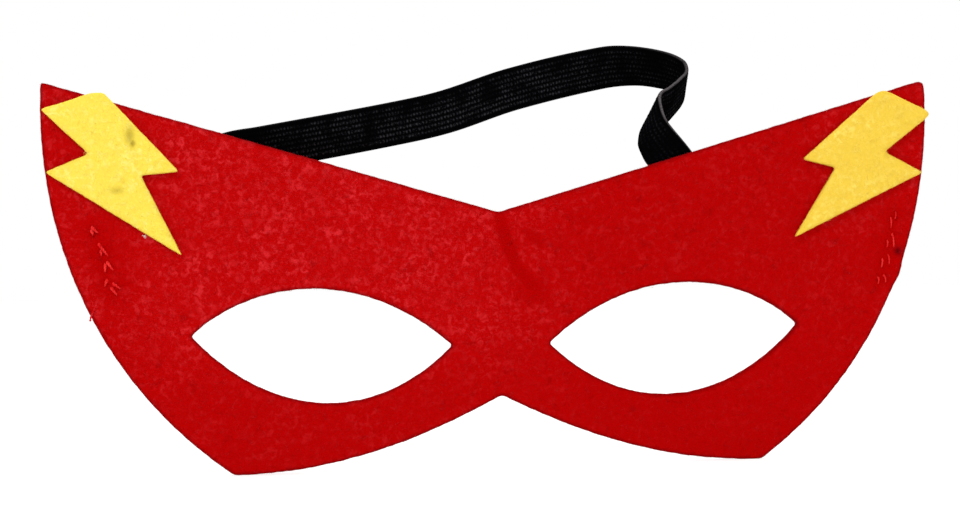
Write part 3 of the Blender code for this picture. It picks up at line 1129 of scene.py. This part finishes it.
def fibre_mesh(name, roots, headings, normals, length, kind, free, mat, seed):
    """Many short fibres as thin closed tubes: loops lying on the felt, or free ends that lift."""
    rng = np.random.default_rng(seed)
    radius, rise = kind
    count, rings = len(roots), 6
    t = np.linspace(0, 1, rings)
    side = np.cross(normals, headings)
    long = length * rng.uniform(0.4, 1.2, count)
    high = rise * rng.uniform(0.3, 1.2, count)
    bend = rng.normal(0, 0.25, count) * long
    lift = t**1.5 if free else np.sin(math.pi * t)
    path = (
        roots[:, None, :]
        + headings[:, None, :] * (long[:, None] * t)[:, :, None]
        + side[:, None, :] * (bend[:, None] * np.sin(math.pi * t))[:, :, None]
        + normals[:, None, :] * (high[:, None] * lift - 0.06)[:, :, None]
    )
    thin = radius * np.sin(math.pi * (0.12 + 0.76 * t)) ** 0.5
    angles = 2 * math.pi * np.arange(3) / 3
    cosines, sines = np.cos(angles)[None, :, None], np.sin(angles)[None, :, None]
    spokes = normals[:, None, :] * cosines + side[:, None, :] * sines
    verts = path[:, :, None, :] + spokes[:, None, :, :] * thin[None, :, None, None]
    index = np.arange(count * rings * 3).reshape(count, rings, 3)
    a, b = index[:, :-1], index[:, 1:]
    quads = np.stack([a, np.roll(a, -1, axis=2), np.roll(b, -1, axis=2), b], axis=3).reshape(-1, 4)
    faces = quads.tolist() + index[:, 0, ::-1].tolist() + index[:, -1].tolist()
    obj = mesh_object(name, verts.reshape(-1, 3), faces, mat)
    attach(obj, "mask")
    return obj


def face_fuzz(name, loops, count, height_at, facing, length, mat, seed):
    """Fibres lying on one face of a felt sheet; facing is -1 for its front and 1 for its back."""
    rng = np.random.default_rng(seed)
    points = rng.uniform(loops[0].min(0), loops[0].max(0), (count * 3, 2))
    angle = rng.uniform(0, 2 * math.pi, len(points))
    ahead = np.stack([np.cos(angle), np.sin(angle)], 1)
    keep = on_felt(points, loops) & on_felt(points + 1.3 * length * ahead, loops)
    points, ahead = points[keep][:count], ahead[keep][:count]
    headings = np.insert(ahead, 1, 0.0, axis=1)
    normals = np.tile((0.0, float(facing), 0.0), (len(points), 1))
    roots = np.insert(points, 1, height_at(points), axis=1)
    fuzz = fibre_mesh(name, roots, headings, normals, length, FACE_FIBRE, False, mat, seed + 1)


def edge_fuzz(name, loops, front, back, length, mat, seed):
    """Short fibre ends that stand out of the cut edges, two to each point of the outlines."""
    rng = np.random.default_rng(seed)
    roots, headings = [], []
    for loop in felt_on_left(loops):
        turned = np.repeat(loop, 2, axis=0)
        out = np.repeat(outward(loop), 2, axis=0)
        share = rng.uniform(0.05, 0.95, len(turned))
        y = front(turned) * (1 - share) + back(turned) * share
        roots.append(np.insert(turned, 1, y, axis=1))
        heading = np.insert(out, 1, 0.0, axis=1)
        heading += rng.normal(0, 0.8, heading.shape)
        headings.append(heading / np.linalg.norm(heading, axis=1)[:, None])
    roots, headings = np.concatenate(roots), np.concatenate(headings)
    normals = np.cross(headings, rng.normal(0, 1, headings.shape))
    normals /= np.linalg.norm(normals, axis=1)[:, None]
    fuzz = fibre_mesh(name, roots, headings, normals, length, EDGE_FIBRE, True, mat, seed + 1)


def build_lint(mat):
    """A tuft of pale lint caught on the felt just below the left bolt."""
    rng = np.random.default_rng(71)
    count = 30
    x, z = LINT_PLACE
    roots = np.array([x, -FELT_THICK - 0.1, z]) + rng.normal(0, 0.15, (count, 3)) * (1.2, 0.4, 0.9)
    angle = rng.uniform(0, 2 * math.pi, count)
    headings = np.stack([np.cos(angle), np.zeros(count), np.sin(angle)], 1)
    normals = np.tile((0.0, -1.0, 0.0), (count, 1))
    fibre_mesh("lint_tuft", roots, headings, normals, 0.45, LINT_FIBRE, False, mat, 72)


def main():
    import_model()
    cad_low, cad_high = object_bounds()
    build_camera()
    build_stage(cad_low.z)

    red = felt_material(
        "red_felt_face",
        base=to_linear(183, 0, 0),
        light=to_linear(213, 38, 43),
        dark=to_linear(104, 0, 3),
        stain=to_linear(60, 0, 6),
        rim_share=0.6,
        specks=0.0,
    )
    yellows = {
        "left": felt_material(
            "yellow_felt_bright",
            base=to_linear(252, 224, 78),
            light=to_linear(255, 240, 122),
            dark=to_linear(232, 188, 56),
            stain=to_linear(134, 100, 10),
            rim_share=0.15,
            specks=0.35,
        ),
        "right": felt_material(
            "yellow_felt_deep",
            base=to_linear(246, 206, 68),
            light=to_linear(255, 226, 104),
            dark=to_linear(214, 168, 44),
            stain=to_linear(150, 118, 30),
            rim_share=0.15,
            specks=0.25,
        ),
    }
    elastic = elastic_material()
    glue = glue_material()
    thread = fibre_material("red_thread_ply", to_linear(202, 20, 22), to_linear(228, 50, 48))
    red_fibre = fibre_material("red_fibre", to_linear(186, 4, 8), to_linear(210, 40, 46))
    yellow_fibre = fibre_material("yellow_fibre", to_linear(250, 216, 80), to_linear(255, 236, 130))
    white_fibre = fibre_material("white_lint", to_linear(246, 222, 218), to_linear(255, 250, 246))

    panel = build_panel(red)
    face_fuzz("panel_fuzz_front", panel, 5200, panel_front, -1, 1.5, red_fibre, 21)
    face_fuzz("panel_fuzz_back", panel, 2600, panel_back, 1, 1.5, red_fibre, 31)
    edge_fuzz("panel_fuzz_edge", panel, panel_front, panel_back, 0.22, red_fibre, 41)
    for side_name, seed in (("left", 51), ("right", 61)):
        bolt = [build_bolt(side_name, yellows[side_name], seed)]
        fuzz, fringe = f"bolt_fuzz_{side_name}", f"bolt_fringe_{side_name}"
        face_fuzz(fuzz, bolt, 420, bolt_front, -1, 1.2, yellow_fibre, seed + 3)
        edge_fuzz(fringe, bolt, bolt_front, bolt_back, 0.16, yellow_fibre, seed + 5)
        build_glue(side_name, glue, seed + 7)
    build_band(elastic)
    build_stitches(thread, red_fibre)
    build_lint(white_fibre)


main()
